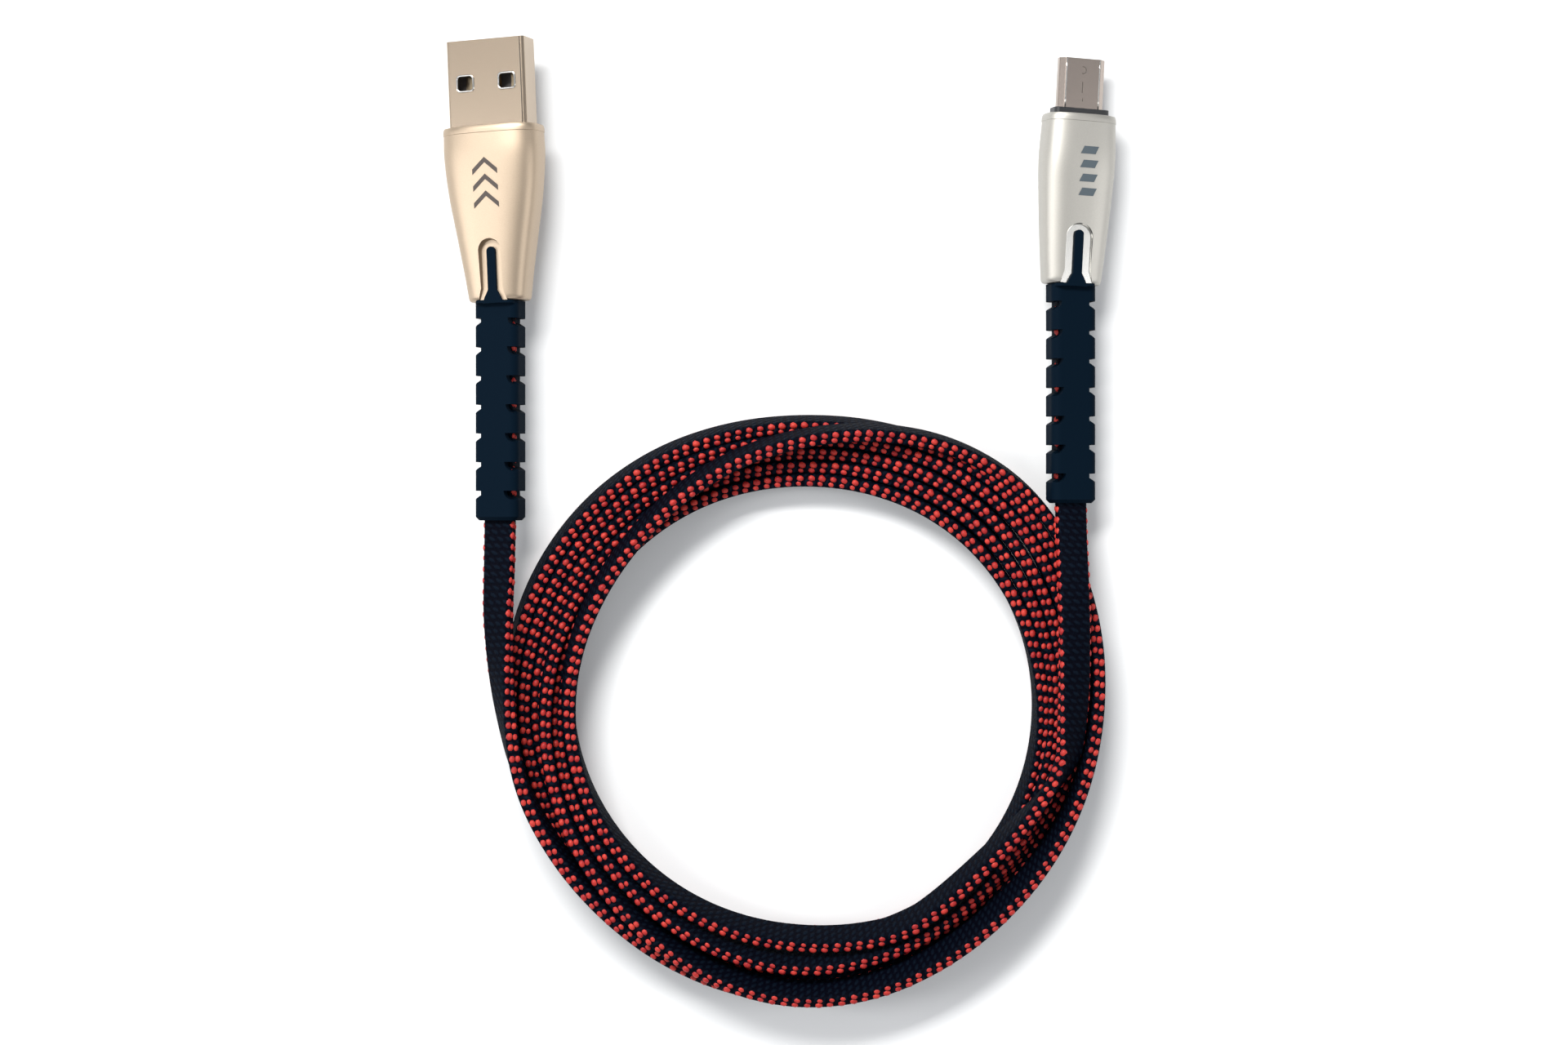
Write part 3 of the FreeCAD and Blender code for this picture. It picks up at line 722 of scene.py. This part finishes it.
def make_cable():
    """The woven band and its two rows of stitches, attached to the cable's body."""
    route = Route(smooth_route())
    band, centres = band_mesh(route)
    upper = stitch_row("stitches_upper_edge", route, 1)
    lower = stitch_row("stitches_lower_edge", route, -1)
    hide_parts("lead_usb_a", "lead_micro", "cord_coil")
    for piece in (band, upper, lower):
        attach(piece, "cable")
    print("cable length %.3f m, %d sections" % (route.length, len(centres)))


# ---- details of the plugs ----------------------------------------------------------------------
def across_housing(sections, y):
    """Width and thickness of a housing at a distance along it, on a smooth curve."""
    first, last = sections[0], sections[-1]
    if y <= first[0] or y >= last[0]:
        return (first if y <= first[0] else last)[1:]
    span = max(index for index in range(len(sections) - 1) if sections[index][0] <= y)
    keys = [sections[max(0, min(len(sections) - 1, span + step))] for step in (-1, 0, 1, 2)]
    share = (y - keys[1][0]) / (keys[2][0] - keys[1][0])
    sizes = []
    for column in (1, 2):
        start_slope = (keys[2][column] - keys[0][column]) / (keys[2][0] - keys[0][0])
        end_slope = (keys[3][column] - keys[1][column]) / (keys[3][0] - keys[1][0])
        step = keys[2][0] - keys[1][0]
        rise = keys[1][column] * (2 * share**3 - 3 * share**2 + 1)
        rise += keys[2][column] * (3 * share**2 - 2 * share**3)
        rise += step * start_slope * (share**3 - 2 * share**2 + share)
        rise += step * end_slope * (share**3 - share**2)
        sizes.append(rise)
    return tuple(sizes)


def soft_section(width, thickness):
    """A rounded section whose broad faces are slightly crowned."""
    outline = []
    for index in range(CASE_POINTS):
        turn = 2 * math.pi * index / CASE_POINTS
        for_x, for_z = math.cos(turn), math.sin(turn)
        x = math.copysign(abs(for_x) ** (2 / CROWN_POWER), for_x) * width / 2
        z = math.copysign(abs(for_z) ** (2 / CROWN_POWER), for_z) * thickness / 2
        outline.append((x, z))
    return outline


def crown_height(sections, x, y):
    """How far the crowned face stands above the axis."""
    width, thickness = across_housing(sections, y)
    return thickness / 2 * (1 - abs(2 * x / width) ** CROWN_POWER) ** (1 / CROWN_POWER)


def stacked_rings(name, rings, material):
    """A closed solid through equal outlines, each a list of points."""
    count = len(rings[0])
    points = [point for ring in rings for point in ring]
    faces = []
    for index in range(len(rings) - 1):
        base = index * count
        for side in range(count):
            after = (side + 1) % count
            faces.append((base + side, base + after, base + count + after, base + count + side))
    faces.append(tuple(reversed(range(count))))
    faces.append(tuple((len(rings) - 1) * count + side for side in range(count)))
    piece = mesh_piece(name, points, faces, material)
    mesh = bmesh.new()
    mesh.from_mesh(piece.data)
    bmesh.ops.recalc_face_normals(mesh, faces=mesh.faces)
    mesh.to_mesh(piece.data)
    mesh.free()
    return piece


def housing_rings(sections, length):
    """Outlines from the rounded lower end, up the body, to the proud lip round the mouth."""
    foot = FOOT_PROFILE[-1][0]
    top = length - LIP_HEIGHT
    body = length - foot - LIP_HEIGHT
    steps = list(FOOT_PROFILE)
    steps += [(foot + body * index / BODY_RINGS, 0.0) for index in range(1, BODY_RINGS + 1)]
    steps += [(top + rise, LIP_PROUD + grow) for rise, grow in LIP_PROFILE]
    rings = []
    for y, grow in steps:
        width, thickness = across_housing(sections, y)
        rings.append([(x, y, z) for x, z in soft_section(width + grow, thickness + grow)])
    return rings


def arch_cutter(arch, slope, face):
    """A wedge that cuts the sunk arch: upright below, sloping outwards near the surface."""
    width, height = arch
    rings = []
    levels = ((ARCH_FLOOR, 0.0), (ARCH_FLOOR + ARCH_UPRIGHT, 0.0), (ARCH_TOP, slope))
    for level, spread in levels:
        half = (width - ARCH_INSET) / 2 + spread
        line = [(-half - flare, y) for flare, y in ARCH_FEET]
        for step in range(ARCH_STEPS + 1):
            turn = math.pi * (1 - step / ARCH_STEPS)
            y = height - width / 2 + half * math.sin(turn)
            line.append((half * math.cos(turn), y))
        line += [(half + flare, y) for flare, y in reversed(ARCH_FEET)]
        rings.append([(x, y, face * level) for x, y in line])
    return rings


def cut_away(piece, cutters):
    """Subtracts the cutters, keeps their finish on the cut faces and removes them."""
    for cutter in cutters:
        difference = piece.modifiers.new("cut", "BOOLEAN")
        difference.operation = "DIFFERENCE"
        difference.solver = "EXACT"
        difference.material_mode = "TRANSFER"
        difference.object = cutter
    bpy.context.view_layer.update()
    evaluated = piece.evaluated_get(bpy.context.evaluated_depsgraph_get())
    carved = bpy.data.meshes.new_from_object(evaluated)
    piece.modifiers.clear()
    piece.data = carved
    for cutter in cutters:
        bpy.data.objects.remove(cutter)


def metal_housing(prefix, place, sections, length, arch, hollow, finish):
    """The plug's metal case, with two sunk arches and the hollow; arch is (size, slope, finish)."""
    size, slope, edge = arch
    case = stacked_rings(prefix + "_case", housing_rings(sections, length), finish)
    cutters = []
    for face in (1, -1):
        cutters.append(stacked_rings("arch cutter", arch_cutter(size, slope, face), edge))
    for y_from, y_to, width, thickness in hollow:
        section = rounded_rectangle(width, thickness, HOLLOW_CORNER)
        rings = [[(x, y, z) for x, z in section] for y in (y_from, y_to)]
        cutters.append(stacked_rings("hollow cutter", rings, finish))
    cut_away(case, cutters)
    case.data.transform(place @ Matrix.Scale(MM, 4))
    add_bevel(case, CASE_BEVEL * MM, 2, 40)
    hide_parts(prefix + "_housing")
    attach(case, "cable")
    return case


def tube_along(name, centres, radius, material, closed, sides):
    """A thin round bar that follows points, in metres."""
    count = len(centres)
    points = []
    for index, centre in enumerate(centres):
        before = centres[index - 1] if closed or index else centre
        after = centres[(index + 1) % count] if closed or index < count - 1 else centre
        along = (after - before).normalized()
        first = along.orthogonal().normalized()
        if abs(along.z) < 0.9:
            first = along.cross(Vector((0, 0, 1))).normalized()
        second = along.cross(first)
        for side in range(sides):
            turn = 2 * math.pi * side / sides
            points.append(centre + (first * math.cos(turn) + second * math.sin(turn)) * radius)
    faces = []
    for index in range(count if closed else count - 1):
        base = index * sides
        other = ((index + 1) % count) * sides
        for side in range(sides):
            after = (side + 1) % sides
            faces.append((base + side, base + after, other + after, other + side))
    if not closed:
        faces.append(tuple(reversed(range(sides))))
        faces.append(tuple((count - 1) * sides + side for side in range(sides)))
    return mesh_piece(name, points, faces, material)


def window_rims(place):
    """Rolled edges round the four locking windows of the USB-A shell, in brighter metal as a painted
    highlight.
    """
    outline = rounded_rectangle(WINDOW_SIZE[0], WINDOW_SIZE[1], WINDOW_CORNER, 6)
    for face_name, height in (("upper", WINDOW_HEIGHT), ("lower", -WINDOW_HEIGHT)):
        for side_name, shift in (("left", -WINDOW_SHIFT), ("right", WINDOW_SHIFT)):
            line = [
                place @ (Vector((shift + x, WINDOW_ALONG + y, height)) * MM) for x, y in outline
            ]
            name = "usb_a_window_%s_%s" % (face_name, side_name)
            rim = tube_along(name, line, WINDOW_RIM * MM, PAINTED_HIGHLIGHT_METAL, True, 8)
            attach(rim, "cable")


def shell_seam(place):
    """A dark line along the USB-A shell's upper face near its corner: partly the seam where the folded
    shell meets itself, partly painted shade at the corner.
    """
    across, height = USB_A_SEAM
    line = [place @ (Vector((across, y, height)) * MM) for y in USB_A_SEAM_ALONG]
    seam = tube_along("usb_a_shell_seam_and_shade", line, USB_A_SEAM_RADIUS * MM, DARK_SEAM_AND_SHADE, False, 8)
    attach(seam, "cable")


def micro_shell_edges(place):
    """Folds along the micro-B shell in brighter metal as a painted highlight, and the fine seam down its
    upper face.
    """
    lengths = [FOLD_FROM + (FOLD_TO - FOLD_FROM) * step / FOLD_STEPS for step in range(FOLD_STEPS + 1)]
    across, height = FOLD_PLACE
    for name, x in (("left", -across), ("right", across)):
        line = [place @ (Vector((x, y, height)) * MM) for y in lengths]
        fold = tube_along("micro_shell_fold_" + name, line, FOLD_RADIUS * MM, PAINTED_HIGHLIGHT_METAL, False, 8)
        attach(fold, "cable")
    hook = []
    for step in range(MICRO_HOOK_STEPS + 1):
        turn = math.pi * (0.6 - 1.2 * step / MICRO_HOOK_STEPS)
        x = MICRO_HOOK_RADII[0] * math.cos(turn)
        hook.append((x, MICRO_HOOK_ALONG + MICRO_HOOK_RADII[1] * math.sin(turn)))
    for name, flat in (*MICRO_SEAM_LINES, ("hook", hook)):
        line = [place @ (Vector((x, y, MICRO_SEAM_HEIGHT)) * MM) for x, y in flat]
        seam = tube_along("micro_shell_seam_" + name, line, MICRO_SEAM_RADIUS * MM, DARK_SEAM_AND_SHADE, False, 6)
        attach(seam, "cable")


def raised_mark(name, place, sections, outlines, material):
    """Flat shapes laid on a housing's upper face."""
    points = []
    faces = []
    for outline in outlines:
        start = len(points)
        count = len(outline)
        for lift in (-MARK_SINK, MARK_LIFT):
            for x, y in outline:
                height = crown_height(sections, x, y) + lift
                points.append(place @ (Vector((x, y, height)) * MM))
        faces.append(tuple(start + index for index in reversed(range(count))))
        faces.append(tuple(start + count + index for index in range(count)))
        for index in range(count):
            after = (index + 1) % count
            low, high = start + index, start + count + index
            faces.append((low, start + after, start + count + after, high))
    mark = mesh_piece(name, points, faces, material, False)
    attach(mark, "cable")


def chevron(y):
    """An arrow-like stroke that points towards the plug's tip."""
    return [
        (-CHEVRON_REACH, y),
        (0, y + CHEVRON_RISE),
        (CHEVRON_REACH, y),
        (CHEVRON_REACH, y + CHEVRON_STROKE),
        (0, y + CHEVRON_RISE + CHEVRON_STROKE),
        (-CHEVRON_REACH, y + CHEVRON_STROKE),
    ]


def slanted_bar(y):
    """A short bar across the plug, with slanted ends."""
    left = BAR_START
    right = BAR_START + BAR_WIDTH
    top = y + BAR_HEIGHT
    return [(left, y), (right, y), (right + BAR_SLANT, top), (left + BAR_SLANT, top)]


def dress_plugs():
    """Both cases first, then the shells' details, then the marks."""
    usb_a = plug_matrix(USB_A_JOIN, USB_A_LEAN, USB_A_ROLL)
    micro = plug_matrix(MICRO_JOIN, MICRO_LEAN, MICRO_ROLL)
    arch = (USB_A_ARCH, USB_A_ARCH_SLOPE, CHAMPAGNE)
    usb_a_case = metal_housing("usb_a", usb_a, USB_A_SECTIONS, USB_A_LENGTH, arch, USB_A_HOLLOW, CHAMPAGNE)
    # The micro-B arch's cut walls take the brighter metal, a painted highlight.
    arch = (MICRO_ARCH, MICRO_ARCH_SLOPE, PAINTED_HIGHLIGHT_METAL)
    micro_case = metal_housing("micro", micro, MICRO_SECTIONS, MICRO_LENGTH, arch, MICRO_HOLLOW, SILVER)
    window_rims(usb_a)
    shell_seam(usb_a)
    micro_shell_edges(micro)
    chevrons = [chevron(y) for y in CHEVRON_ROWS]
    raised_mark("usb_a_mark", usb_a, USB_A_SECTIONS, chevrons, MARK_BROWN)
    bars = [slanted_bar(y) for y in BAR_ROWS]
    raised_mark("micro_mark", micro, MICRO_SECTIONS, bars, MARK_GREY)


make_camera()
make_cable()
paint_nodes()
dress_plugs()
make_lights()
make_floor()
